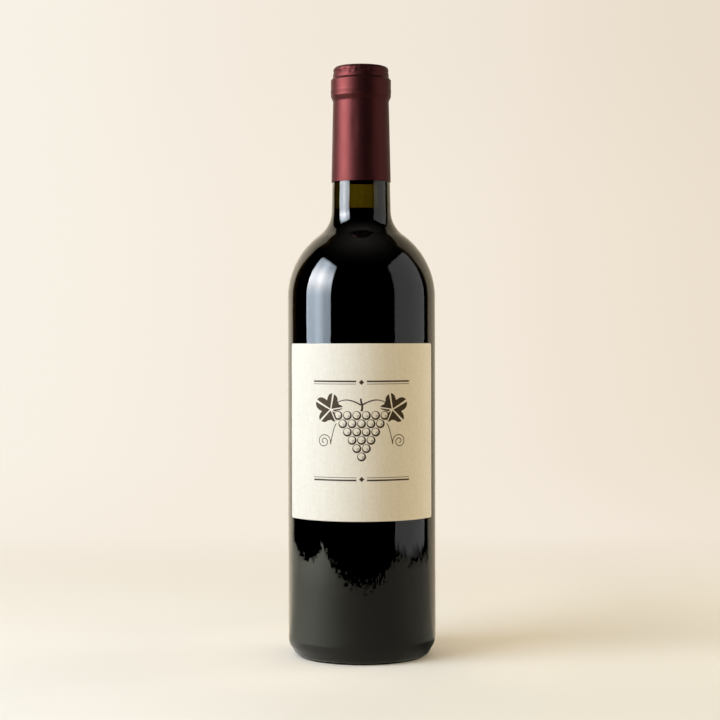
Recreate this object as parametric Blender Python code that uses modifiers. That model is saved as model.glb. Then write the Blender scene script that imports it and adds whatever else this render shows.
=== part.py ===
"""A 0.75 litre wine bottle: a dark glass bottle, its wine, a metal capsule and a paper label.

Metres, +Z up. The origin is the middle of the base, where the bottle stands, and the label
faces -Y. Every turned piece is the outline of its wall, turned once round the Z axis.
"""

import math

import bpy

# Driving dimensions of the glass
GLASS_HEIGHT = 0.2988
BODY_RADIUS = 0.0376
BODY_WALL = 0.0029
SHOULDER_START = 0.1820
SHOULDER_ARC = 0.0395
NECK_ARC = 0.0155
NECK_RADIUS = 0.01505
NECK_TOP_RADIUS = 0.01368
NECK_TOP = 0.2815

# The ring below the mouth, and the mouth itself
RING_RADIUS = 0.01478
RING_BOTTOM = 0.2842
RING_TOP = 0.2932
LIP_RADIUS = 0.01358
LIP_BOTTOM = 0.2945
LIP_ROUNDING = 0.0014
MOUTH_BORE = 0.00925
MOUTH_ROUNDING = 0.0008

# The bore of the neck, and the inside of the shoulder
NECK_BORE = 0.0102
INNER_NECK_ARC = 0.0150

# The heel, the ring that the bottle stands on, and the hollow of the base
HEEL_TOP = 0.0092
HEEL_BOTTOM_RADIUS = 0.0342
HEEL_BOTTOM = 0.0019
HEEL_BULGE = 0.00025
BEARING_OUTER = 0.0318
BEARING_INNER = 0.0296
BEARING_BULGE = 0.0004
PUNT_RADIUS = 0.0284
PUNT_LIFT = 0.0004
PUNT_DEPTH = 0.0180
BASE_THICKNESS = 0.0055
CENTRE_THICKNESS = 0.0050
INNER_HEEL_ARC = 0.0060

# The wine, the capsule and the label
WINE_LEVEL = 0.2270
CLEARANCE = 0.0003
CAPSULE_EDGE = 0.2406
FOIL_THICKNESS = 0.00022
LABEL_BOTTOM = 0.0714
LABEL_TOP = 0.1587
LABEL_WIDTH = 0.0893
PAPER_THICKNESS = 0.0003

# How finely the turned pieces and the curves of their outlines are divided
SEGMENTS = 60
LABEL_SEGMENTS = 24
SHOULDER_STEPS = 10
INNER_SHOULDER_STEPS = 8
PUNT_STEPS = 8
INNER_HEEL_STEPS = 4
HEEL_STEPS = 3
LIP_STEPS = 3
SMALL_STEPS = 2
MERGE_DISTANCE = 0.00001


def clear_scene():
    for old in list(bpy.data.objects):
        bpy.data.objects.remove(old)


def arc(centre, radius, start, end, steps):
    """Points along a circle in the (r, z) plane, from one angle in degrees to another."""
    points = []
    for step in range(steps + 1):
        angle = math.radians(start + (end - start) * step / steps)
        r = centre[0] + radius * math.cos(angle)
        z = centre[1] + radius * math.sin(angle)
        points.append((r, z))
    return points


def bulged(start, end, bulge, steps):
    """Points between two ends that swell to the left of the way by the bulge."""
    along = (end[0] - start[0], end[1] - start[1])
    length = math.hypot(*along)
    left = (-along[1] / length, along[0] / length)
    points = []
    for step in range(steps + 1):
        t = step / steps
        swell = bulge * 4 * t * (1 - t)
        r = start[0] + along[0] * t + left[0] * swell
        z = start[1] + along[1] * t + left[1] * swell
        points.append((r, z))
    return points


def offset(outline, distance):
    """The same outline moved to the left of its way, which here is away from the glass."""
    moved = []
    for place, (r, z) in enumerate(outline):
        before = outline[max(place - 1, 0)]
        after = outline[min(place + 1, len(outline) - 1)]
        normals = []
        for a, b in ((before, (r, z)), ((r, z), after)):
            length = math.hypot(b[0] - a[0], b[1] - a[1])
            if length > 0:
                normals.append((-(b[1] - a[1]) / length, (b[0] - a[0]) / length))
        mean = (sum(n[0] for n in normals), sum(n[1] for n in normals))
        size = math.hypot(*mean)
        mitre = distance * len(normals) / size
        new_r = r + mean[0] / size * mitre if r > 0 else 0.0
        moved.append((new_r, z + mean[1] / size * mitre))
    return moved


def shoulder(body, convex, neck, concave, steps):
    """The shoulder from the body up to the neck: two arcs that run into each other."""
    low = (body - convex, SHOULDER_START)
    reach = neck + concave - low[0]
    high = (neck + concave, SHOULDER_START + math.sqrt((convex + concave) ** 2 - reach ** 2))
    turn = math.degrees(math.atan2(high[1] - low[1], high[0] - low[0]))
    lower = arc(low, convex, 0, turn, steps)
    upper = arc(high, concave, turn + 180, 180, steps // 2)
    return lower + upper[1:]


def bell(radius, foot, top, steps):
    """The rise in the middle of the base, from its centre out to its foot."""
    points = []
    for step in range(steps + 1):
        r = radius * step / steps
        rise = (1 + math.cos(math.pi * r / radius)) / 2
        points.append((r, foot + (top - foot) * rise))
    return points


def cavity():
    """The inside of the glass, from the middle of its floor up to the bore of the neck."""
    wall = BODY_RADIUS - BODY_WALL
    convex = SHOULDER_ARC - BODY_WALL
    floor_edge = wall - INNER_HEEL_ARC
    floor = bell(floor_edge, BASE_THICKNESS, PUNT_DEPTH + CENTRE_THICKNESS, PUNT_STEPS)
    heel_centre = (floor_edge, BASE_THICKNESS + INNER_HEEL_ARC)
    heel = arc(heel_centre, INNER_HEEL_ARC, -90, 0, INNER_HEEL_STEPS)
    rise = shoulder(wall, convex, NECK_BORE, INNER_NECK_ARC, INNER_SHOULDER_STEPS)
    return floor + heel[1:] + rise


def outer_shoulder():
    """The outside of the shoulder, from the top of the straight body to the foot of the neck."""
    return shoulder(BODY_RADIUS, SHOULDER_ARC, NECK_RADIUS, NECK_ARC, SHOULDER_STEPS)


def covered_neck():
    """What the capsule covers, from the middle of the mouth down the ring and the neck to its edge."""
    corner = (LIP_RADIUS - LIP_ROUNDING, GLASS_HEIGHT - LIP_ROUNDING)
    neck_foot = outer_shoulder()[-1][1]
    share = (NECK_TOP - CAPSULE_EDGE) / (NECK_TOP - neck_foot)
    edge = NECK_TOP_RADIUS + (NECK_RADIUS - NECK_TOP_RADIUS) * share
    return [
        (0.0, GLASS_HEIGHT),
        *arc(corner, LIP_ROUNDING, 90, 0, LIP_STEPS),
        (LIP_RADIUS, LIP_BOTTOM),
        (RING_RADIUS, RING_TOP),
        (RING_RADIUS, RING_BOTTOM),
        (NECK_TOP_RADIUS, NECK_TOP),
        (edge, CAPSULE_EDGE),
    ]


def outside():
    """The outside of the glass, from the lip down to the middle of the hollow base."""
    heel_bottom = (HEEL_BOTTOM_RADIUS, HEEL_BOTTOM)
    heel = bulged((BODY_RADIUS, HEEL_TOP), heel_bottom, HEEL_BULGE, HEEL_STEPS)
    bearing = bulged(heel_bottom, (BEARING_OUTER, 0.0), BEARING_BULGE, SMALL_STEPS)
    punt = bell(PUNT_RADIUS, PUNT_LIFT, PUNT_DEPTH, PUNT_STEPS)
    return [
        *covered_neck()[1:],
        *outer_shoulder()[::-1],
        *heel,
        *bearing[1:],
        (BEARING_INNER, 0.0),
        *punt[::-1],
    ]


def mouth():
    """The bore at the mouth, rounded over into the top of the lip."""
    corner = (MOUTH_BORE + MOUTH_ROUNDING, GLASS_HEIGHT - MOUTH_ROUNDING)
    return arc(corner, MOUTH_ROUNDING, 180, 90, SMALL_STEPS)


def wine_outline():
    """The wine, from the middle of its surface down its side to the middle of its floor."""
    side = offset(cavity(), CLEARANCE)
    top = (side[-1][0], WINE_LEVEL)
    return [(0.0, WINE_LEVEL), top] + side[::-1]


def capsule_outline():
    """The foil cup: down its outside from the middle of the top, then up its inside."""
    outer = offset(covered_neck(), CLEARANCE + FOIL_THICKNESS)
    inner = offset(covered_neck(), CLEARANCE)
    return outer + inner[::-1]


def material(name, colour, roughness, metallic=0.0, transmission=0.0):
    made = bpy.data.materials.new(name)
    made.use_nodes = True
    shader = made.node_tree.nodes["Principled BSDF"]
    shader.inputs["Base Color"].default_value = (*colour, 1.0)
    shader.inputs["Roughness"].default_value = roughness
    shader.inputs["Metallic"].default_value = metallic
    shader.inputs["Transmission Weight"].default_value = transmission
    return made


def turned(name, outline, surface, angle=2 * math.pi, segments=SEGMENTS):
    """An outline in the XZ plane, turned round the Z axis by a Screw modifier."""
    mesh = bpy.data.meshes.new(name)
    points = [(r, 0.0, z) for r, z in outline]
    edges = [(place, place + 1) for place in range(len(points) - 1)]
    mesh.from_pydata(points, edges, [])
    mesh.materials.append(surface)
    made = bpy.data.objects.new(name, mesh)
    screw = made.modifiers.new("Turn", "SCREW")
    screw.axis = "Z"
    screw.angle = angle
    screw.steps = segments
    screw.render_steps = segments
    screw.use_merge_vertices = True
    screw.merge_threshold = MERGE_DISTANCE
    screw.use_smooth_shade = True
    return made


def make_glass():
    glass = material("dark olive glass", (0.010, 0.013, 0.002), 0.03, transmission=0.6)
    return turned("bottle_glass", cavity() + mouth() + outside(), glass)


def make_wine():
    wine = material("red wine", (0.045, 0.002, 0.006), 0.05, transmission=0.4)
    return turned("wine", wine_outline(), wine)


def make_capsule():
    foil = material("burgundy foil", (0.145, 0.018, 0.018), 0.32, metallic=1.0)
    return turned("capsule", capsule_outline(), foil)


def make_label():
    """The paper goes round the front of the body, with its middle towards -Y."""
    paper = material("cream label paper", (0.80, 0.74, 0.62), 0.85)
    radius = BODY_RADIUS + CLEARANCE
    angle = LABEL_WIDTH / radius
    side = [(radius, LABEL_TOP), (radius, LABEL_BOTTOM)]
    label = turned("label", side, paper, angle=angle, segments=LABEL_SEGMENTS)
    label.rotation_euler.z = -math.pi / 2 - angle / 2
    sheet = label.modifiers.new("Paper", "SOLIDIFY")
    sheet.thickness = PAPER_THICKNESS
    sheet.offset = 1.0
    return label


def main():
    clear_scene()
    collection = bpy.data.collections.new("wine_bottle")
    bpy.context.scene.collection.children.link(collection)
    base = bpy.data.objects.new("bottle_base", None)
    collection.objects.link(base)
    for piece in (make_glass(), make_wine(), make_capsule(), make_label()):
        collection.objects.link(piece)
        piece.parent = base


main()
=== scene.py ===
import math

import bmesh
import bpy
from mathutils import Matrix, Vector, noise


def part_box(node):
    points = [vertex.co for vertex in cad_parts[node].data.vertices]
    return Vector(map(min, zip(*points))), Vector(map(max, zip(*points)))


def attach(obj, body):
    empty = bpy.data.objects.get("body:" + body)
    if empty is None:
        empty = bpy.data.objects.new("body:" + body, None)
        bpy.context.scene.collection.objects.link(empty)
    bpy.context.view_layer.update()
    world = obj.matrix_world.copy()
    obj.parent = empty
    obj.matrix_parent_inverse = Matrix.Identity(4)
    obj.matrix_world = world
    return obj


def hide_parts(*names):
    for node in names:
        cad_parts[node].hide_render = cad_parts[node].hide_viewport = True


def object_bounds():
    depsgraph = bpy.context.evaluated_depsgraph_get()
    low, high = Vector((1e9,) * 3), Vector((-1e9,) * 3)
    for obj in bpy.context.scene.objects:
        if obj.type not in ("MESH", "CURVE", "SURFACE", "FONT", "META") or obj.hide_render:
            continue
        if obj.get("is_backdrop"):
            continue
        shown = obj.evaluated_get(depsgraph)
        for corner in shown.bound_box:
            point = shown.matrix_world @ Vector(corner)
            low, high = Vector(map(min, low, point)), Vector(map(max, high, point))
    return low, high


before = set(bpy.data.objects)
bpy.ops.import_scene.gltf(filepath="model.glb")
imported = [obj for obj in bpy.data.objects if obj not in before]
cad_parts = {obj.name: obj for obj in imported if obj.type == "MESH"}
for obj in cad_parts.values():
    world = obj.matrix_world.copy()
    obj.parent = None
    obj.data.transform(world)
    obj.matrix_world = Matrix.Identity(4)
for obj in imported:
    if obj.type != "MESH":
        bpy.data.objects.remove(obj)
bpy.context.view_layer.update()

# The bottle glass
# A straight-sided 0.75 litre bottle of soda-lime glass, blown in a two-part iron mould. Iron and
# chrome in the melt tint it "dead leaf": olive where it is thin, black where it is thick or full.
# It is one piece, with a hollow base, a row of short moulded bars round its heel and an open mouth.

MM = 0.001
glass_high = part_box("bottle_glass")[1]
BODY_RADIUS = glass_high.x
GLASS_TOP = glass_high.z
BODY_WALL = 2.9 * MM
SHOULDER_START = 182.0 * MM
SHOULDER_ARC = 39.5 * MM
NECK_ARC = 15.5 * MM
NECK_RADIUS = 15.05 * MM
NECK_TOP_RADIUS = 13.68 * MM
NECK_TOP = 281.5 * MM
RING_RADIUS = 14.78 * MM
RING_BOTTOM = 284.2 * MM
RING_TOP = 291.9 * MM
LIP_RADIUS = 13.0 * MM
LIP_BOTTOM = 293.3 * MM
MOUTH_BORE = 9.25 * MM
NECK_BORE = 10.2 * MM
INNER_NECK_ARC = 15.0 * MM
MOULD_LINE = 11.6 * MM
MOULD_LINE_DEPTH = 0.04 * MM
HEEL_TOP = 9.2 * MM
HEEL_MIDDLE = (36.3 * MM, 5.4 * MM)
HEEL_FOOT = (34.2 * MM, 1.6 * MM)
BEARING_OUTER = 31.8 * MM
BEARING_INNER = 29.6 * MM
PUNT_RADIUS = 28.4 * MM
PUNT_LIFT = 0.4 * MM
PUNT_DEPTH = 18.0 * MM
BASE_THICKNESS = 5.5 * MM
CENTRE_THICKNESS = 5.0 * MM
INNER_HEEL_ARC = 6.0 * MM
GLASS_SEGMENTS = 270
CURVE_STEPS = 24
ON_AXIS = 1e-6
HEEL_BARS = 90
HEEL_BAR_HEIGHT = 0.2 * MM
HEEL_BAR_MIDDLE = 6.9 * MM
HEEL_BAR_REACH = 1.6 * MM
SEAM_HEIGHT = 0.05 * MM
SEAM_WIDTH = 0.7 * MM
SEAM_END = 10.3 * MM
SEAM_BEAD = 4
BORE_WAVE = 0.2 * MM
NECK_STREAKS = 0.035 * MM
WINE_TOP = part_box("wine")[1].z


def arc(centre, radius, start, end, steps):
    """Points along a circle in the (r, z) plane, from one angle in degrees to another."""
    points = []
    for step in range(steps + 1):
        angle = math.radians(start + (end - start) * step / steps)
        points.append((centre[0] + radius * math.cos(angle), centre[1] + radius * math.sin(angle)))
    return points


def straight(start, end, steps):
    """Points along a straight stretch, so that relief on it has something to move."""
    way = (end[0] - start[0], end[1] - start[1])
    return [(start[0] + way[0] * k / steps, start[1] + way[1] * k / steps) for k in range(steps + 1)]


def closer(points, most):
    """The same line with points no further apart than a length."""
    line = [points[0]]
    for before, after in zip(points, points[1:]):
        gap = math.hypot(after[0] - before[0], after[1] - before[1])
        line += straight(before, after, max(1, math.ceil(gap / most)))[1:]
    return line


def rounded(corners, steps=6):
    """A line through the corners (r, z, rounding), each rounded by an arc of its own radius."""
    points = [corners[0][:2]]
    for before, (r, z, rounding), after in zip(corners, corners[1:], corners[2:]):
        corner = Vector((r, z))
        back = (Vector(before[:2]) - corner).normalized()
        onward = (Vector(after[:2]) - corner).normalized()
        half = back.angle(onward) / 2
        centre = corner + (back + onward).normalized() * rounding / math.sin(half)
        first = corner + back * rounding / math.tan(half) - centre
        last = corner + onward * rounding / math.tan(half) - centre
        start = math.atan2(first.y, first.x)
        turn = math.remainder(math.atan2(last.y, last.x) - start, math.tau)
        for step in range(steps + 1):
            angle = start + turn * step / steps
            points.append((centre.x + rounding * math.cos(angle), centre.y + rounding * math.sin(angle)))
    points.append(corners[-1][:2])
    return points


def shoulder(body, convex, neck, concave, steps):
    """The shoulder from the body up to the neck: two arcs that run into each other."""
    low = (body - convex, SHOULDER_START)
    reach = neck + concave - low[0]
    high = (neck + concave, SHOULDER_START + math.sqrt((convex + concave) ** 2 - reach ** 2))
    turn = math.degrees(math.atan2(high[1] - low[1], high[0] - low[0]))
    return arc(low, convex, 0, turn, steps) + arc(high, concave, turn + 180, 180, steps // 2)[1:]


def bell(radius, foot, top):
    """The rise in the middle of the base, from its centre out to its foot."""
    points = []
    for step in range(CURVE_STEPS + 1):
        r = radius * step / CURVE_STEPS
        points.append((r, foot + (top - foot) * (1 + math.cos(math.pi * r / radius)) / 2))
    return points


def cavity(spread=0.0):
    """The inside of the glass, from the middle of its floor up to the neck, or just in its wall."""
    wall = BODY_RADIUS - BODY_WALL
    edge = wall - INNER_HEEL_ARC
    floor = BASE_THICKNESS - spread
    centre = (edge, BASE_THICKNESS + INNER_HEEL_ARC)
    rise = bell(edge, floor, PUNT_DEPTH + CENTRE_THICKNESS - spread)
    heel = arc(centre, INNER_HEEL_ARC + spread, -90, 0, 10)
    convex = SHOULDER_ARC - BODY_WALL + spread
    slope = shoulder(wall + spread, convex, NECK_BORE + spread, INNER_NECK_ARC - spread, CURVE_STEPS)
    return rise + heel[1:-1] + straight(heel[-1], slope[0], CURVE_STEPS) + slope[1:]


def in_scene(name, data):
    """A new object in the scene, for a mesh, a light or a camera."""
    made = bpy.data.objects.new(name, data)
    bpy.context.scene.collection.objects.link(made)
    return made


def turned(name, stretches, segments):
    """Outlines (points, relief) turned as one round the Z axis; relief(angle, z) stands proud."""
    verts, rings, faces = [], [], []
    for points, relief in stretches:
        for r, z in points:
            around = segments if r > ON_AXIS else 1
            rings.append((len(verts), around))
            for k in range(around):
                angle = math.tau * k / segments
                out = r + relief(angle, z) if around > 1 and relief else r
                verts.append((out * math.cos(angle), out * math.sin(angle), z))
    for (here, n), (below, m) in zip(rings, rings[1:]):
        for k in range(segments):
            on = (k + 1) % segments
            corners = [here + k % n, below + k % m, below + on % m, here + on % n]
            faces.append(list(dict.fromkeys(corners)))
    mesh = bpy.data.meshes.new(name)
    mesh.from_pydata(verts, [], faces)
    mesh.shade_smooth()
    return in_scene(name, mesh)


def smooth(low, high, value):
    """0 at low and past it, 1 at high and past it, and an even rise between, either way round."""
    t = max(0.0, min(1.0, (value - low) / (high - low)))
    return t * t * (3 - 2 * t)


def hill(away, width):
    """1 in the middle, and down to nearly 0 at two widths on each side."""
    return math.exp(-((away / width) ** 2))


def bore_wave(angle, z):
    """The glass settles unevenly as it is blown, so its inside is a little out of true."""
    slow = math.cos(2 * angle + 0.7 + z * 9) + 0.5 * math.cos(5 * angle + 2.1 - z * 14)
    fine = math.cos(17 * angle + 0.4 + z * 25) + 0.7 * math.cos(26 * angle - z * 18)
    streaks = NECK_STREAKS * fine * smooth(SHOULDER_START, WINE_TOP, z)
    return streaks + BORE_WAVE * (slow + 0.35 * math.cos(11 * angle + z * 20)) / 1.85


def mould_marks(angle, z):
    """The short bars round the heel, and the mould's seam down each side to a small bead."""
    bars = max(0.0, math.cos(HEEL_BARS * angle))
    bars *= math.exp(-(((z - HEEL_BAR_MIDDLE) / HEEL_BAR_REACH) ** 4))
    seam = hill(math.remainder(angle, math.pi) * BODY_RADIUS, SEAM_WIDTH)
    seam *= 1 + SEAM_BEAD * hill(z - SEAM_END, SEAM_WIDTH)
    return HEEL_BAR_HEIGHT * bars + SEAM_HEIGHT * seam * (z > HEEL_TOP)


outer_shoulder = shoulder(BODY_RADIUS, SHOULDER_ARC, NECK_RADIUS, NECK_ARC, 36)
mouth = rounded([
    (NECK_BORE, SHOULDER_START, 0),
    (MOUTH_BORE, GLASS_TOP, 0.8 * MM),
    (LIP_RADIUS, GLASS_TOP, 2.2 * MM),
    (LIP_RADIUS, LIP_BOTTOM, 0.5 * MM),
    (RING_RADIUS, RING_TOP, 0.5 * MM),
    (RING_RADIUS, RING_BOTTOM, 0.8 * MM),
    (NECK_TOP_RADIUS, NECK_TOP, 1.5 * MM),
    (*outer_shoulder[-1], 0),
])[1:-1]
body_foot = (BODY_RADIUS, MOULD_LINE + 2.0 * MM)
heel = rounded([
    (*body_foot, 0),
    (BODY_RADIUS - MOULD_LINE_DEPTH, MOULD_LINE, 4 * MM),
    (BODY_RADIUS, HEEL_TOP, 0.6 * MM),
    (*HEEL_MIDDLE, 8 * MM),
    (*HEEL_FOOT, 2 * MM),
    (BEARING_OUTER, 0.0, 1.0 * MM),
    (BEARING_INNER, 0.0, 0.5 * MM),
    (PUNT_RADIUS, PUNT_LIFT, 0),
])
bottle = turned(
    "bottle",
    [
        (cavity() + straight(cavity()[-1], mouth[0], CURVE_STEPS)[1:-1], bore_wave),
        (mouth, None),
        (straight(mouth[-1], outer_shoulder[-1], CURVE_STEPS)[1:-1], mould_marks),
        (outer_shoulder[::-1] + straight(outer_shoulder[0], body_foot, steps=20)[1:], mould_marks),
        (closer(heel, 0.5 * MM)[1:-1], mould_marks),
        (bell(PUNT_RADIUS, PUNT_LIFT, PUNT_DEPTH)[::-1], None),
    ],
    GLASS_SEGMENTS,
)


def srgb(colour):
    """A hex colour as the linear RGBA that shaders take."""
    channels = [int(colour[k:k + 2], 16) / 255 for k in (0, 2, 4)]
    return (*[c / 12.92 if c < 0.04045 else ((c + 0.055) / 1.055) ** 2.4 for c in channels], 1.0)


def add(tree, kind, inputs=None, output=None, stops=None, **settings):
    """A node of a kind, with its settings and its inputs as values or links; gives its output."""
    made = tree.nodes.new(kind)
    for name, value in settings.items():
        setattr(made, name, value)
    for name, value in (inputs or {}).items():
        if isinstance(name, int):
            socket = made.inputs[name]
        else:
            socket = next(s for s in made.inputs if s.name == name and s.enabled)
        if isinstance(value, bpy.types.NodeSocket):
            tree.links.new(value, socket)
        else:
            socket.default_value = value
    for place, colour in stops or ():
        stop = made.color_ramp.elements.new(place)
        stop.color = colour
    if output:
        return made.outputs[output]
    return next((s for s in made.outputs if s.enabled), None)


def finish(name):
    """A new material, with its node tree, its shader and its object coordinates."""
    made = bpy.data.materials.new(name)
    made.use_nodes = True
    tree = made.node_tree
    return made, tree, tree.nodes["Principled BSDF"], add(tree, "ShaderNodeTexCoord", output="Object")


def absorb(tree, extinction):
    """Gives a clear material what it takes out of the light in each metre."""
    most = max(extinction)
    body = add(tree, "ShaderNodeVolumeAbsorption", {
        "Color": (*[1 - e / most for e in extinction], 1.0), "Density": most,
    })
    tree.links.new(body, tree.nodes["Material Output"].inputs["Volume"])


# Dead-leaf container glass, fire-polished as it cools in the mould: a hard clear gloss with faint
# long ripples. What it takes out of the light in each metre gives olive through the empty neck.
GLASS_IOR = 1.52
GLASS_EXTINCTION = (335.0, 364.0, 720.0)
RIPPLE_SPACING = 14 * MM
RIPPLE_HEIGHT = 0.036 * MM
HANDLING_SPACING = 6 * MM

glass, tree, shader, place = finish("dead_leaf_container_glass")
ripples = add(tree, "ShaderNodeTexNoise", {"Vector": place, "Scale": 1 / RIPPLE_SPACING, "Detail": 1.0})
handled = add(tree, "ShaderNodeTexNoise", {"Vector": place, "Scale": 1 / HANDLING_SPACING, "Detail": 4.0})
haze = add(tree, "ShaderNodeMapRange", {"Value": handled, "To Min": 0.006, "To Max": 0.03})
bump = add(tree, "ShaderNodeBump", {"Height": ripples, "Strength": 1.0, "Distance": RIPPLE_HEIGHT})
tree.links.new(haze, shader.inputs["Roughness"])
tree.links.new(bump, shader.inputs["Normal"])
shader.inputs["Base Color"].default_value = (1, 1, 1, 1)
shader.inputs["Transmission Weight"].default_value = 1.0
shader.inputs["IOR"].default_value = GLASS_IOR
absorb(tree, GLASS_EXTINCTION)

bottle.data.materials.append(glass)
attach(bottle, "root")
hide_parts("bottle_glass")

# The wine
# A young red wine, which fills the bottle to the lower neck and climbs a little up its wall.
# Its dye lets some deep red through a thin film of it, and nothing through the whole bottle.
# It reaches a hair into the glass, so that no air shows between the two.

WINE_IN_WALL = 0.1 * MM
MENISCUS_RISE = 1.3 * MM
MENISCUS_REACH = 2.0 * MM
WINE_SEGMENTS = 180
WINE_IOR = 1.345
WINE_EXTINCTION = (520.0, 2600.0, 2200.0)

side = cavity(WINE_IN_WALL)
rim = side[-1][0]
level = []
for step in range(CURVE_STEPS + 1):
    r = rim * step / CURVE_STEPS
    level.append((r, WINE_TOP + MENISCUS_RISE * (math.exp(-(rim - r) / MENISCUS_REACH) - 1)))
wine = turned("wine_fill", [(level[:-1], None), (level[-1:] + side[::-1], bore_wave)], WINE_SEGMENTS)

# Clear wine with a still, bright surface. A trace of sediment spreads its shine a hair in places.
SEDIMENT_SPACING = 25 * MM

red, tree, shader, place = finish("young_red_wine")
cloud = add(tree, "ShaderNodeTexNoise", {"Vector": place, "Scale": 1 / SEDIMENT_SPACING, "Detail": 2.0})
still = add(tree, "ShaderNodeMapRange", {"Value": cloud, "To Min": 0.0, "To Max": 0.02})
tree.links.new(still, shader.inputs["Roughness"])
shader.inputs["Base Color"].default_value = srgb("fff2f4")
shader.inputs["Transmission Weight"].default_value = 1.0
shader.inputs["IOR"].default_value = WINE_IOR
absorb(tree, WINE_EXTINCTION)

wine.data.materials.append(red)
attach(wine, "root")
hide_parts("wine")

# The capsule
# A spun cup of tin foil, lacquered dark red and satin, pressed tight over the mouth and the neck
# by rollers. It follows the ring under the mouth, is creased at its top edge, and is cut off square.

CAPSULE_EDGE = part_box("capsule")[0].z
CAPSULE_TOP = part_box("capsule")[1].z
FOIL = 0.22 * MM
EDGE_RADIUS = 15.1 * MM
FOIL_RIDGE = 286.6 * MM
FOIL_RIDGE_HEIGHT = 0.14 * MM
FOIL_RIDGE_WIDTH = 0.6 * MM
SOFT_DENTS = 0.05 * MM
FINE_DENTS = 0.012 * MM
ROLLER_WAVES = 0.02 * MM
FOLD = 296.2 * MM
FOLD_DEPTH = 0.36 * MM
FOLD_WIDTH_MM = 0.5
FOLD_WAVER_MM = 0.35
CREASES_FROM_MM = 293.8
CREASES_FULL_MM = 295.6
CREASE_DEPTH = 0.2 * MM
FOIL_SEGMENTS = 300
FOIL_RADIUS_MM = 14.6
DENTS = [
    # azimuth from the front in degrees, height in mm, half width and half height in mm, depth in mm
    (-13, 269, 1.6, 8, 0.12),
    (25, 255, 2.5, 6, 0.06),
    (70, 262, 3, 9, 0.10),
    (140, 250, 3, 8, 0.12),
    (-110, 266, 2.5, 10, 0.10),
    (-55, 247, 3, 5, 0.05),
    (5, 287, 3, 2, 0.05),
]


def foil_relief(angle, z):
    """The rolled ridge, the soft dents, and the fold and the creases round the foil's top edge."""
    front = math.degrees(angle) + 90
    high = z / MM
    relief = FOIL_RIDGE_HEIGHT * hill(z - FOIL_RIDGE, FOIL_RIDGE_WIDTH)
    for azimuth, height, wide, tall, depth in DENTS:
        away = math.radians(math.remainder(front - azimuth, 360)) * FOIL_RADIUS_MM
        relief -= depth * MM * math.exp(-((away / wide) ** 2) - ((high - height) / tall) ** 2)
    way = Vector((math.cos(angle), math.sin(angle), 0))
    soft = noise.noise(way * 1.6 + Vector((0, 0, high / 14)))
    fine = noise.noise(way * 9 + Vector((0, 3, high / 5)))
    rolled = noise.noise(way * 0.6 + Vector((7, 0, high / 0.9)))
    relief += SOFT_DENTS * soft + FINE_DENTS * fine + ROLLER_WAVES * rolled
    folded = (z - FOLD) / MM - FOLD_WAVER_MM * noise.noise(way * 2 + Vector((1, 4, 0)))
    uneven = 0.85 + 0.6 * noise.noise(way * 3 + Vector((2, 0, 0)))
    relief -= FOLD_DEPTH * uneven * hill(folded, FOLD_WIDTH_MM)
    creases = noise.noise(way * 7 + Vector((5, 0, high / 1.6)))
    creases += 0.6 * noise.noise(way * 15 + Vector((9, 1, high)))
    return relief + CREASE_DEPTH * creases * smooth(CREASES_FROM_MM, CREASES_FULL_MM, high)


foil_line = [
    (0.0, CAPSULE_TOP - 0.15 * MM, 0),
    (9.5 * MM, CAPSULE_TOP - 0.15 * MM, 6 * MM),
    (11.6 * MM, CAPSULE_TOP, 1 * MM),
    (13.95 * MM, CAPSULE_TOP - 0.1 * MM, 2.2 * MM),
    (14.25 * MM, 293.5 * MM, 0.5 * MM),
    (15.3 * MM, 292.4 * MM, 0.7 * MM),
    (15.3 * MM, 284.1 * MM, 0.8 * MM),
    (14.2 * MM, 281.6 * MM, 1.3 * MM),
    (EDGE_RADIUS, CAPSULE_EDGE, 0),
]
outside = rounded(foil_line, 8)
inside = rounded([(max(r - FOIL, 0), z - FOIL * (r < 14 * MM), c) for r, z, c in foil_line], 8)
inside[-1] = (EDGE_RADIUS - FOIL, CAPSULE_EDGE)
capsule = turned(
    "capsule_foil",
    [(closer(outside, 0.5 * MM), foil_relief), (closer(inside, 1.0 * MM)[::-1], foil_relief)],
    FOIL_SEGMENTS,
)
capsule.data.set_sharp_from_angle(angle=math.radians(50))

# Satin lacquer over tin: a dark metal red whose shine is spread wide, with the fine long marks
# of the rollers round it and a little wear where it was handled.
ROLLER_MARKS = 0.35 * MM
ROLLER_MARK_LENGTH = 50 / 3 * MM
LACQUER_GRIT = 0.5 * MM
WEAR_SPACING = 8 * MM

foil, tree, shader, place = finish("satin_lacquered_tin_foil")
stretched = add(tree, "ShaderNodeMapping", {
    "Vector": place, "Scale": (1 / ROLLER_MARK_LENGTH, 1 / ROLLER_MARK_LENGTH, 1 / ROLLER_MARKS),
})
marks = add(tree, "ShaderNodeTexNoise", {"Vector": stretched, "Scale": 1.0, "Detail": 3.0})
grit = add(tree, "ShaderNodeTexNoise", {"Vector": place, "Scale": 1 / LACQUER_GRIT, "Detail": 3.0})
wear = add(tree, "ShaderNodeTexNoise", {"Vector": place, "Scale": 1 / WEAR_SPACING, "Detail": 5.0})
shine = add(tree, "ShaderNodeMapRange", {"Value": wear, "From Min": 0.3, "From Max": 0.7,
                                         "To Min": 0.46, "To Max": 0.53})
tone = add(tree, "ShaderNodeMix", {"Factor": wear, "A": srgb("4c2524"), "B": srgb("582b2a")},
           data_type="RGBA")
height = add(tree, "ShaderNodeMath", {0: marks, 1: grit}, operation="ADD")
bump = add(tree, "ShaderNodeBump", {"Height": height, "Strength": 0.25, "Distance": 0.04 * MM})
tree.links.new(tone, shader.inputs["Base Color"])
tree.links.new(shine, shader.inputs["Roughness"])
tree.links.new(bump, shader.inputs["Normal"])
shader.inputs["Metallic"].default_value = 1.0

capsule.data.materials.append(foil)
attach(capsule, "root")
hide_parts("capsule")

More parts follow.
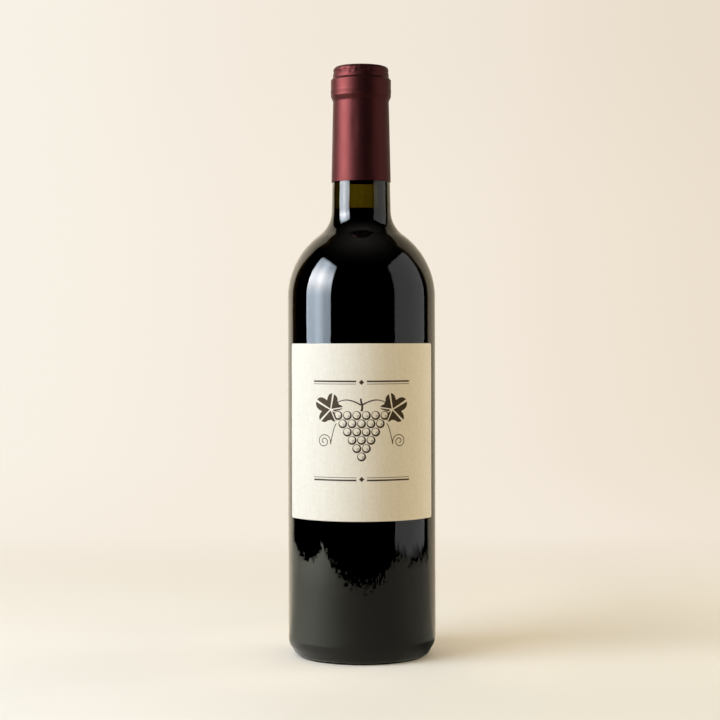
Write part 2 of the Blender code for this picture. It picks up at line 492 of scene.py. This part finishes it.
# The label
# One sheet of uncoated cream paper with a faint laid grain, its corners just rounded by the die.
# It is glued flat round the front of the body, and its cut edge stands a paper's thickness proud.

LABEL_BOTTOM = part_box("label")[0].z
LABEL_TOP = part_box("label")[1].z
LABEL_WIDTH = 89.3 * MM
PAPER = 0.18 * MM
GLUE = 0.02 * MM
PAPER_RADIUS = BODY_RADIUS + PAPER + GLUE
LABEL_CORNER = 1.1 * MM
LABEL_COLUMNS = 150


def round_body(along, high, radius):
    """A place on the label, along its width from the middle of the front, at a radius."""
    angle = along / PAPER_RADIUS - math.pi / 2
    return radius * math.cos(angle), radius * math.sin(angle), high


half = LABEL_WIDTH / 2
corner = [LABEL_CORNER * (1 - math.cos(math.radians(15 * k))) for k in range(6)]
middle = straight((-half + LABEL_CORNER, 0), (half - LABEL_CORNER, 0), LABEL_COLUMNS)
columns = [c - half for c in corner] + [x for x, _ in middle] + [half - c for c in corner[::-1]]
verts, faces = [], []
for along in columns:
    into = max(0.0, abs(along) - half + LABEL_CORNER)
    cut = LABEL_CORNER - math.sqrt(max(0.0, LABEL_CORNER ** 2 - into ** 2))
    for radius in (PAPER_RADIUS, PAPER_RADIUS - PAPER):
        verts.append(round_body(along, LABEL_BOTTOM + cut, radius))
        verts.append(round_body(along, LABEL_TOP - cut, radius))
for k in range(0, len(verts) - 4, 4):
    for a, b in ((0, 1), (1, 3), (3, 2), (2, 0)):
        faces.append((k + b, k + a, k + a + 4, k + b + 4))
faces.append((0, 1, 3, 2))
faces.append(tuple(len(verts) - 4 + c for c in (0, 2, 3, 1)))
mesh = bpy.data.meshes.new("label_sheet")
mesh.from_pydata(verts, [], faces)
mesh.shade_smooth()
mesh.set_sharp_from_angle(angle=math.radians(40))
label = in_scene("label_sheet", mesh)

# Uncoated cream stock: quite matte, with an upright grain about half a millimetre across and
# a soft mottle from its fibres, both just deep enough to catch the light.
PAPER_GRAIN = 0.55 * MM
PAPER_GRAIN_LENGTH = 9 * MM
PAPER_FIBRE = 1.6 * MM

paper, tree, shader, place = finish("uncoated_cream_paper")
upright = add(tree, "ShaderNodeMapping", {
    "Vector": place, "Scale": (1 / PAPER_GRAIN, 1 / PAPER_GRAIN, 1 / PAPER_GRAIN_LENGTH),
})
grain = add(tree, "ShaderNodeTexNoise", {"Vector": upright, "Scale": 1.0, "Detail": 3.0, "Roughness": 0.6})
fibre = add(tree, "ShaderNodeTexNoise", {"Vector": place, "Scale": 1 / PAPER_FIBRE, "Detail": 4.0})
both = add(tree, "ShaderNodeMath", {0: grain, 1: fibre}, operation="ADD")
mixed = add(tree, "ShaderNodeMapRange", {"Value": both, "From Min": 0.7, "From Max": 1.3})
tone = add(tree, "ShaderNodeMix", {"Factor": mixed, "A": srgb("e9e2d3"), "B": srgb("f2ecdf")},
           data_type="RGBA")
bump = add(tree, "ShaderNodeBump", {"Height": both, "Strength": 0.35, "Distance": 0.05 * MM})
tree.links.new(tone, shader.inputs["Base Color"])
tree.links.new(bump, shader.inputs["Normal"])
shader.inputs["Roughness"].default_value = 0.88
shader.inputs["Specular IOR Level"].default_value = 0.25

label.data.materials.append(paper)
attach(label, "root")
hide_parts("label")

# The print
# A plain ornament in dark brown ink, pressed into the paper: a bunch of grapes with two leaves
# and tendrils between ruled lines. Each mark is a film of ink that follows the label round.

INK = 0.02 * MM
PRINT_HIGH = 115.9 * MM
PRINT_WIDTH = 50.5 * MM
PRINT_HEIGHT = 48.5 * MM
PRINT_CUT = 1.5 * MM
GRAPE = 2.2 * MM
GRAPE_GAP = 0.25 * MM
GRAPE_SKIN = 0.62 * MM
GRAPE_SHADE = 0.26 * MM
GRAPE_SHADES = [(1.12 * MM, -82, 12), (0.66 * MM, -66, -6)]
GRAPE_ROWS = 6
ROW_NESTING = 0.87
BUNCH_TOP = 7.5 * MM
LEAF_ALONG = 15.6 * MM
LEAF_HIGH = 10.4 * MM
LEAF_SIZE = 8.2 * MM
LEAF_LEAN = 62
VEIN = 0.28 * MM
TENDRIL = 0.42 * MM
RULE_GAP = 2.6 * MM
RULES = [(0.0, 0.4 * MM), (1.3 * MM, 0.14 * MM)]
DIAMOND = 1.3 * MM
DIAMOND_IN = 0.5 * MM


def fan(centre, edge):
    """A face for each step of an outline round a middle point."""
    return [centre, *edge], [(0, k, k + 1) for k in range(1, len(edge))]


def band(left, right):
    """A band between two lines of as many points."""
    count = len(left)
    return [*left, *right], [(k, count + k, count + k + 1, k + 1) for k in range(count - 1)]


def stroke(points, widths):
    """A band along a line, with its width at each point."""
    left, right = [], []
    for k, (x, y) in enumerate(points):
        ahead = Vector(points[min(k + 1, len(points) - 1)]) - Vector(points[max(k - 1, 0)])
        across = Vector((-ahead.y, ahead.x)).normalized() * widths[k] / 2
        left.append((x + across.x, y + across.y))
        right.append((x - across.x, y - across.y))
    return band(left, right)


def bar(low, high):
    """A plain upright rectangle."""
    return band([low, (high[0], low[1])], [(low[0], high[1]), high])


# The bunch: each grape is a ring, thick at its lower right, with two shading strokes inside.
marks = []
pitch = 2 * GRAPE + GRAPE_GAP
shade_widths = [GRAPE_SHADE * math.sin(math.pi * (k + 0.6) / 11.2) for k in range(11)]
for row in range(GRAPE_ROWS):
    count = GRAPE_ROWS - row
    for k in range(count):
        middle = ((k - (count - 1) / 2) * pitch, BUNCH_TOP - row * pitch * ROW_NESTING)
        light = (middle[0] - 0.24 * MM, middle[1] + 0.30 * MM)
        marks.append(band(arc(middle, GRAPE, 0, 360, 30), arc(light, GRAPE - GRAPE_SKIN, 0, 360, 30)))
        for radius, start, end in GRAPE_SHADES:
            marks.append(stroke(arc(light, radius, start, end, 10), shade_widths))


def leaf(middle, size, turn):
    """A vine leaf of five toothed lobes, with the paper showing along its veins."""
    lobes = [(-144, 0.74), (-72, 0.95), (0, 1.1), (72, 0.95), (144, 0.74)]

    def reach(angle):
        lengths = []
        for lobe, length in lobes:
            away = abs(math.remainder(angle - lobe, 360)) / 36
            lengths.append(length * (0.56 + 0.44 * max(0.0, 1 - away ** 1.7)))
        notch = max(0.0, 1 - abs(math.remainder(angle - 180, 360)) / 34)
        teeth = 0.05 * abs(math.sin(math.radians(angle * 4.5)))
        return size * (max(lengths) * (1 - 0.75 * notch) + teeth)

    made = []
    for (low, _), (high, _) in zip(lobes, lobes[1:] + [(216, 0)]):
        split = (low + high) / 2
        bounds = [(low, high)] if high < 200 else [(low, split - 3), (split + 3, high)]
        for a, b in bounds:
            inset = VEIN / math.sin(math.radians(b - a) / 2)
            aim = math.radians((a + b) / 2 + turn)
            point = (middle[0] + inset * math.cos(aim), middle[1] + inset * math.sin(aim))
            edge = []
            for step in range(25):
                angle = a + (b - a) * (0.05 + 0.9 * step / 24)
                edge.append(arc(middle, reach(angle), angle + turn, 0, 1)[0])
            made.append(fan(point, edge))
    return made


# On each side a leaf on its stalk and a curled tendril; above and below, two rules and a diamond.
for way in (-1, 1):
    marks += leaf((way * LEAF_ALONG, LEAF_HIGH), LEAF_SIZE, 90 - way * LEAF_LEAN)
    stalk = []
    for k in range(21):
        t = 0.02 + 0.8 * k / 20
        stalk.append((way * LEAF_ALONG * t, (12.5 + 3.5 * math.sin(2.6 * t) - 3.0 * t * t) * MM))
    marks.append(stroke(stalk, [(0.75 - 0.018 * k) * MM for k in range(21)]))
    curl = []
    for step in range(61):
        turn = math.radians(200 - step * 11)
        size = (3.7 - step * 0.052) * MM
        curl.append((way * (19.3 * MM + size * math.cos(turn)), -5.2 * MM + size * math.sin(turn)))
    marks.append(stroke(curl, [TENDRIL] * len(curl)))
    reach_out = []
    for k in range(17):
        t = k / 16
        reach_out.append((way * (12.5 + 3.2 * t) * MM, (3.6 - 10.2 * t ** 1.6) * MM))
    marks.append(stroke(reach_out, [TENDRIL] * len(reach_out)))
    for side in (-1, 1):
        left, right = sorted((side * RULE_GAP, side * PRINT_WIDTH / 2))
        for inward, half_width in RULES:
            rule = way * (PRINT_HEIGHT / 2 - inward)
            marks.append(bar((left, rule - half_width), (right, rule + half_width)))
    middle = (0, way * (PRINT_HEIGHT / 2 - DIAMOND_IN))
    marks.append(fan(middle, arc(middle, DIAMOND, 0, 360, 4)))
stem = [(0.35 * MM * math.sin(k / 3), (9.6 + k * 0.42) * MM) for k in range(16)]
marks.append(stroke(stem, [(1.15 - 0.02 * k) * MM for k in range(16)]))

# The marks are cut up along the label so that they bend with it, and are given the film's
# thickness, most of it proud of the paper and the rest pressed in.
built = bmesh.new()
for points, faces in marks:
    corners = [built.verts.new((x, 0, y)) for x, y in points]
    for face in faces:
        built.faces.new([corners[c] for c in face])
for k in range(-17, 18):
    everything = built.verts[:] + built.edges[:] + built.faces[:]
    bmesh.ops.bisect_plane(built, geom=everything, plane_co=(k * PRINT_CUT, 0, 0), plane_no=(1, 0, 0))
for face in built.faces:
    face.normal_update()
    if face.normal.y > 0:
        face.normal_flip()
bmesh.ops.solidify(built, geom=built.faces[:], thickness=INK)
for vert in built.verts:
    film = PAPER_RADIUS + INK * (0.7 if abs(vert.co.y) < INK / 2 else -0.3)
    vert.co = round_body(vert.co.x, PRINT_HIGH + vert.co.z, film)
mesh = bpy.data.meshes.new("label_print")
built.to_mesh(mesh)
built.free()
ornament = in_scene("label_print", mesh)

# Oil-based letterpress ink, dry and matte, a little thin where the paper's fibres stand up.
INK_MOTTLE = 0.4 * MM

ink, tree, shader, place = finish("letterpress_ink")
cover = add(tree, "ShaderNodeTexNoise", {"Vector": place, "Scale": 1 / INK_MOTTLE, "Detail": 3.0})
tone = add(tree, "ShaderNodeMix", {"Factor": cover, "A": srgb("35291a"), "B": srgb("463725")},
           data_type="RGBA")
tree.links.new(tone, shader.inputs["Base Color"])
shader.inputs["Roughness"].default_value = 0.7
shader.inputs["Specular IOR Level"].default_value = 0.3
ornament.data.materials.append(ink)
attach(ornament, "root")

# The floor and backdrop
# One sheet of matte cream paper, flat under the bottle and swept up behind it in a wide curve.
# The glass neither mirrors it nor shows it through: the cards of the next section stand in for it.

SWEEP_REACH = 3.0
SWEEP_START = 1.3
SWEEP_ARC = 0.5
SWEEP_RISE = 2.2
NEAR_END = 0.12
FAR_START = 0.6


def patch(name, point, shades, columns, rows, surface):
    """A sheet through point(s, t), with paints shade(s, t) by name, for s and t from 0 to 1."""
    spots = [(column / columns, row / rows) for row in range(rows + 1) for column in range(columns + 1)]
    verts, faces = [point(s, t) for s, t in spots], []
    for row in range(rows):
        for column in range(columns):
            first = row * (columns + 1) + column
            faces.append((first, first + 1, first + columns + 2, first + columns + 1))
    mesh = bpy.data.meshes.new(name)
    mesh.from_pydata(verts, [], faces)
    mesh.shade_smooth()
    for paint, shade in shades.items():
        layer = mesh.color_attributes.new(paint, "FLOAT_COLOR", "POINT")
        for spot, (s, t) in zip(layer.data, spots):
            spot.color = (*shade(s, t), 1.0)
    mesh.materials.append(surface)
    made = in_scene(name, mesh)
    made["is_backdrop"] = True
    return made


def unseen(made, *rays):
    """Hides a thing from the kinds of ray that are named."""
    for ray in rays:
        setattr(made, "visible_" + ray, False)


def blend(first, second, share):
    return [a + (b - a) * share for a, b in zip(first, second)]


def gather(share):
    """From -1 to 1, with the steps much closer together in the middle."""
    return 0.05 * share + 0.95 * share ** 3


def sweep_point(s, t):
    """A place on the paper, with s across it and t from its front edge to its top."""
    x = gather(2 * s - 1) * SWEEP_REACH
    bend = SWEEP_ARC * math.pi / 2
    along = gather(2 * t - 1) * (SWEEP_REACH if t < 0.5 else SWEEP_START + bend + SWEEP_RISE)
    if along < SWEEP_START:
        return x, along, 0.0
    if along < SWEEP_START + bend:
        angle = (along - SWEEP_START) / SWEEP_ARC
        return x, SWEEP_START + SWEEP_ARC * math.sin(angle), SWEEP_ARC * (1 - math.cos(angle))
    return x, SWEEP_START + SWEEP_ARC, SWEEP_ARC + along - SWEEP_START - bend


# The floor's colour, a little paler at the left: painted light from the softbox's side.
FLOOR_LEFT = (0.94, 0.895, 0.81)
FLOOR_RIGHT = (0.915, 0.865, 0.76)
# Painted light: a faint fill glowing on the near floor, more beside the bottle, and the glow of the
# backdrop, brighter at the left.
FLOOR_FILL = (0.02, 0.015, 0.01)
CONTACT_FILL = (0.10, 0.075, 0.045)
WALL_LEFT = srgb("f8f2e6")
WALL_MIDDLE = srgb("f5ebdd")
WALL_RIGHT = srgb("ecdfcd")


def sweep_tone_and_painted_shade(s, t):
    """The paper's colour near the bottle, paler at the left with painted light, and darker with painted
    shade along the front, just in front of the bottle and at the right; further back it fades out and the
    glow takes over.
    """
    x, y, z = sweep_point(s, t)
    near = 1 - smooth(NEAR_END, FAR_START, y)
    # Painted shade: darker along the front, most just in front of the bottle, and darker at the right from
    # the bottle back.
    front = 1 - smooth(0.02, -0.12, y) * (0.045 + 0.05 * hill(x, 0.05))
    right = 1 - 0.06 * smooth(0.09, 0.18, x) * smooth(-0.05, 0.06, y)
    return [near * front * right * c for c in blend(FLOOR_LEFT, FLOOR_RIGHT, smooth(-0.1, 0.1, x))]


def sweep_glow(s, t):
    """The even painted light on the paper behind, brighter at the left and a little dimmer high up away
    from the far left, and a little painted fill light on the floor, more beside the bottle.
    """
    x, y, z = sweep_point(s, t)
    far = smooth(NEAR_END, FAR_START, y)
    if x < 0:
        wall = blend(WALL_LEFT, WALL_MIDDLE, smooth(-0.6, 0.0, x))
    else:
        wall = blend(WALL_MIDDLE, WALL_RIGHT, smooth(0.0, 0.6, x))
    dusk = 1 - 0.03 * smooth(0.3, 0.65, z) * smooth(-0.6, 0.0, x)
    beside = smooth(0.05, -0.03, x) * smooth(0.14, 0.04, math.hypot(x, y))
    beside += 0.45 * smooth(0.03, 0.06, x) * smooth(0.13, 0.08, x) * smooth(0.12, 0.04, abs(y))
    floor = [a + beside * b for a, b in zip(FLOOR_FILL, CONTACT_FILL)]
    return [(1 - far) * a + far * dusk * b for a, b in zip(floor, wall)]


# Uncoated background paper, quite matte: its colours, with painted light and shade, and the glow painted
# on it, and no shine.
backdrop, tree, shader, place = finish("matte_cream_backdrop_paper")
tone = add(tree, "ShaderNodeAttribute", output="Color", attribute_name="tone")
lit = add(tree, "ShaderNodeAttribute", output="Color", attribute_name="glow")
tree.links.new(tone, shader.inputs["Base Color"])
tree.links.new(lit, shader.inputs["Emission Color"])
shader.inputs["Emission Strength"].default_value = 1.0
shader.inputs["Roughness"].default_value = 1.0
shader.inputs["Specular IOR Level"].default_value = 0.0
paints = {"tone": sweep_tone_and_painted_shade, "glow": sweep_glow}
sweep = patch("floor_and_backdrop", sweep_point, paints, 120, 240, backdrop)
unseen(sweep, "glossy", "diffuse", "transmission")

# The studio light
# A tall soft light at the left, a dim card close at the right, and the lit table and backdrop.
# What the glass mirrors of them is made of glowing cards, and two plain lights light the rest.

glow = bpy.data.materials.new("studio_glow")
glow.use_nodes = True
glow.node_tree.nodes.clear()
tone = add(glow.node_tree, "ShaderNodeAttribute", output="Color", attribute_name="tone")
light = add(glow.node_tree, "ShaderNodeEmission", {"Color": tone, "Strength": 1.0})
add(glow.node_tree, "ShaderNodeOutputMaterial", {"Surface": light})


def card(name, point, shade, columns, rows):
    """A glowing sheet that only shows in reflections."""
    made = patch(name, point, {"tone": shade}, columns, rows, glow)
    unseen(made, "camera", "diffuse", "transmission", "volume_scatter", "shadow")
    return made


def bearing(azimuth):
    """The level direction at an azimuth from the front, in degrees, towards +X where positive."""
    angle = math.radians(azimuth)
    return Vector((math.sin(angle), -math.cos(angle), 0))


def upright(azimuth, distance, half_width, low, high):
    """The points of an upright flat card that faces the bottle."""
    out = bearing(azimuth)
    along = Vector((-out.y, out.x, 0))
    return lambda s, t: tuple(
        out * distance + along * (2 * s - 1) * half_width + Vector((0, 0, low + (high - low) * t))
    )


SOFTBOX_HALF_WIDTH = 0.421
SOFTBOX_HIGH = 1.28
SOFTBOX_SLOPE = 0.11
SOFTBOX_AZIMUTH = -70.2
HOT_HIGH = 0.61
HOT_REACH = 0.26
COOL_GLOW = (1.0, 1.18, 1.36)
WHITE_GLOW = (1.0, 1.0, 1.04)
softbox_panel = upright(SOFTBOX_AZIMUTH, 1.0, SOFTBOX_HALF_WIDTH, 0.0, SOFTBOX_HIGH)


def softbox_place(s, t):
    """The panel stands on the table's level and its top runs a little down towards the camera."""
    return softbox_panel(s, 0.08 + (0.92 - SOFTBOX_SLOPE * s) * t)


def softbox_tone(s, t):
    """Cool round the edges and white in a hot band at half its height, dimmer on its near side."""
    along = (2 * s - 1) * SOFTBOX_HALF_WIDTH
    high = softbox_place(s, t)[2]
    hot = hill(high - HOT_HIGH, HOT_REACH)
    middle = hill(along, 0.12)
    far_side = smooth(0.32, 0.05, along)
    level = (8.0 + 13.2 * hot) * (0.54 + 0.21 * far_side + 0.25 * middle)
    level *= 1 - 0.75 * smooth(0.92, 1.0, t)
    white = smooth(0.2, 0.45, high) * (1 - 0.8 * smooth(0.75, 1.0, high))
    glow = blend(COOL_GLOW, WHITE_GLOW, white * (0.5 + 0.3 * far_side + 0.2 * middle))
    return [level * c for c in glow]


card("softbox_mirrored", softbox_place, softbox_tone, 60, 80)

RIGHT_AZIMUTH = 80.9
RIGHT_DISTANCE = 0.45
RIGHT_HALF_WIDTH = 0.261
RIGHT_HIGH = 0.684
RIGHT_SLOPE = 0.08
right_panel = upright(RIGHT_AZIMUTH, RIGHT_DISTANCE, RIGHT_HALF_WIDTH, 0.0, RIGHT_HIGH)


def right_place(s, t):
    """The dim card's top runs a little up, away from the camera."""
    return right_panel(s, (1 - RIGHT_SLOPE * (1 - s)) * t)


def right_tone(s, t):
    """Even white, with a slightly ragged foot."""
    strength = 0.81 * smooth(-0.01, 0.02, t + 0.015 * noise.noise(Vector((s * 14, t * 60, 0))))
    return [strength * c for c in (1.0, 1.0, 0.99)]


card("right_card_mirrored", right_place, right_tone, 60, 240)

WALL_FROM = 121.5
WALL_TO = 229.5
WALL_DISTANCE = 1.2
ROOM_HEIGHT = 1.6
WALL_MIRRORED_RIGHT = (0.68, 0.58, 0.42)
WALL_MIRRORED_LEFT = (1.38, 1.22, 0.97)


def backdrop_place(s, t):
    """The backdrop round the back, a little wider at its top than at its foot."""
    wider = 5 * smooth(0.25, 0.6, t)
    azimuth = WALL_FROM - wider + (WALL_TO - WALL_FROM + 2 * wider) * s
    return tuple(bearing(azimuth) * WALL_DISTANCE + Vector((0, 0, ROOM_HEIGHT * t)))


def backdrop_tone(s, t):
    """Brighter at the left, and darker towards its top and its two sides."""
    side = smooth(0.0, 0.07, s) * smooth(0.995, 0.96, s) * (1 - 0.35 * smooth(0.3, 0.9, t))
    return [side * c for c in blend(WALL_MIRRORED_RIGHT, WALL_MIRRORED_LEFT, smooth(0.3, 0.7, s))]


# This card is also what shows through the empty neck.
behind = card("backdrop_mirrored", backdrop_place, backdrop_tone, 108, 40)
behind.visible_transmission = True


def ceiling_place(s, t):
    """A level ring overhead, with t from its middle out."""
    return tuple(bearing(360 * s) * (0.02 + 1.4 * t) + Vector((0, 0, ROOM_HEIGHT)))


def ceiling_tone(s, t):
    """A dim warm light that fades out from the middle."""
    strength = 0.22 * (1 - t) ** 2
    return strength, strength * 0.97, strength * 0.85


card("ceiling_mirrored", ceiling_place, ceiling_tone, 60, 24)

TABLE_NEAR = 0.033
TABLE_FAR = 1.2
TABLE_EDGE = 0.315
TABLE_SIDE = 0.44
TABLE_LEVEL = 0.5 * MM
BRIGHT_AZIMUTH = -75
BRIGHT_WIDTH = 42


def table_azimuth(s):
    """The azimuth across the table, all the way round in degrees."""
    return -180 + 360 * s


def table_spread(t):
    """The distance from the bottle's axis, with the steps closer together near it."""
    return TABLE_NEAR * (TABLE_FAR / TABLE_NEAR) ** t


def table_place(s, t):
    """The level table, a hair above the floor."""
    return tuple(bearing(table_azimuth(s)) * table_spread(t) + Vector((0, 0, TABLE_LEVEL)))


def table_tone(s, t):
    """The lit table: bright at the left, with a straight front edge and darkness past it, and a painted
    shadow of the bottle close to it.
    """
    azimuth, spread = table_azimuth(s), table_spread(t)
    behind_share = (azimuth % 360 - WALL_FROM) / (WALL_TO - WALL_FROM)
    wall = blend(WALL_MIRRORED_RIGHT, WALL_MIRRORED_LEFT, smooth(0.3, 0.7, behind_share))
    ahead = max(0.3, math.cos(math.radians(azimuth)))
    end = min(TABLE_EDGE / ahead ** 0.85, TABLE_SIDE)
    end += 0.10 * hill(azimuth + 61, 8) + 0.03 * hill(azimuth - 64, 8)
    end += 0.09 * smooth(106, 125, -azimuth)
    depth = math.log(spread)
    ragged = noise.noise(Vector((azimuth / 4, depth * 13, 0))) * 0.06
    ragged += noise.noise(Vector((azimuth / 2.6, depth * 24, 4))) * 0.07
    lit = 1 - smooth(end + ragged - 0.003, end + ragged + 0.005, spread)
    hump = hill(azimuth - BRIGHT_AZIMUTH - 7 * smooth(0.2, 0.06, spread), BRIGHT_WIDTH)
    # Painted shadow: the table is darker close to the bottle, at its left and at its right.
    close = smooth(0.1, 0.037, spread)
    strength = 0.33 + 1.13 * hump + 0.12 * smooth(40, 80, azimuth) + 0.5 * smooth(105, 135, -azimuth)
    strength *= 1 - close * (0.5 * hump + 0.85 * smooth(40, 80, azimuth))
    strength *= 1 + 0.4 * hump * smooth(0.25, 0.45, spread)
    colour = blend((0.97, 0.92, 0.72), (1.0, 1.04 - 0.07 * close, 0.87), hump)
    front = [strength * lit * c for c in colour]
    return blend(front, wall, smooth(118, 128, azimuth) + smooth(124, 136, -azimuth))


card("table_mirrored", table_place, table_tone, 480, 320)


def soft_light(name, azimuth, distance, high, size, energy, colour):
    """A rectangular light turned to the bottle's axis, which is itself neither seen nor mirrored."""
    light = bpy.data.lights.new(name, "AREA")
    light.shape = "RECTANGLE"
    light.size, light.size_y = size
    light.energy = energy
    light.color = colour
    made = in_scene(name, light)
    made.location = bearing(azimuth) * distance + Vector((0, 0, high))
    made.rotation_euler = (-bearing(azimuth)).to_track_quat("-Z", "Y").to_euler()
    unseen(made, "glossy", "camera", "transmission")


soft_light(
    "softbox", azimuth=-60, distance=1.0, high=0.625, size=(0.9, 1.05), energy=17.7,
    colour=(0.62, 0.77, 0.965),
)
soft_light(
    "right_bounce", azimuth=104, distance=0.7, high=0.115, size=(0.25, 0.2), energy=2.1,
    colour=(0.92, 0.98, 1.0),
)

# The pale room, and the light that the table throws up: linear red, green and blue.
SKY_LEVEL = (0.27, 0.19, 0.07)
SKY_TOP = (0.83, 0.73, 0.585)
TABLE_BOUNCE = (0.43, 0.29, 0.06)

world = bpy.data.worlds.new("pale_room")
bpy.context.scene.world = world
world.use_nodes = True
tree = world.node_tree
tree.nodes.clear()
way = add(tree, "ShaderNodeTexCoord", output="Generated")
high = add(tree, "ShaderNodeSeparateXYZ", {"Vector": way}, output="Z")
above = add(tree, "ShaderNodeMix", {
    "Factor": high, "A": (*SKY_LEVEL, 1.0), "B": (*SKY_TOP, 1.0),
}, data_type="RGBA")
up = add(tree, "ShaderNodeMath", {0: high, 1: 0.0}, operation="GREATER_THAN")
room = add(tree, "ShaderNodeMix", {"Factor": up, "A": (*TABLE_BOUNCE, 1.0), "B": above}, data_type="RGBA")
seen = add(tree, "ShaderNodeLightPath", output="Is Camera Ray")
past = add(tree, "ShaderNodeMix", {"Factor": seen, "A": room, "B": srgb("f0e6d4")}, data_type="RGBA")
through = add(tree, "ShaderNodeLightPath", output="Is Transmission Ray")
sky = add(tree, "ShaderNodeMix", {"Factor": through, "A": past, "B": (0, 0, 0, 1)}, data_type="RGBA")
air = add(tree, "ShaderNodeBackground", {"Color": sky, "Strength": 1.0})
add(tree, "ShaderNodeOutputWorld", {"Surface": air})
world.cycles_visibility.glossy = False

# The camera
# A long lens, 0.91 m in front of the bottle's axis and a little above its middle. It looks a
# touch down, so that the table's surface is just seen, as in the photograph.

CAMERA_PLACE = (-0.0007, -0.913, 0.1604)
PITCH_DOWN = 0.64
ROLL = 0.1
FOCAL_LENGTH_MM = 89.5
SENSOR_WIDTH_MM = 36

lens = bpy.data.cameras.new("camera")
lens.lens = FOCAL_LENGTH_MM
lens.sensor_width = SENSOR_WIDTH_MM
camera = in_scene("camera", lens)
camera.location = CAMERA_PLACE
camera.rotation_euler = (math.radians(90 - PITCH_DOWN), math.radians(ROLL), 0)
bpy.context.scene.camera = camera
bpy.context.scene.view_settings.view_transform = "Standard"

low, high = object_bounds()
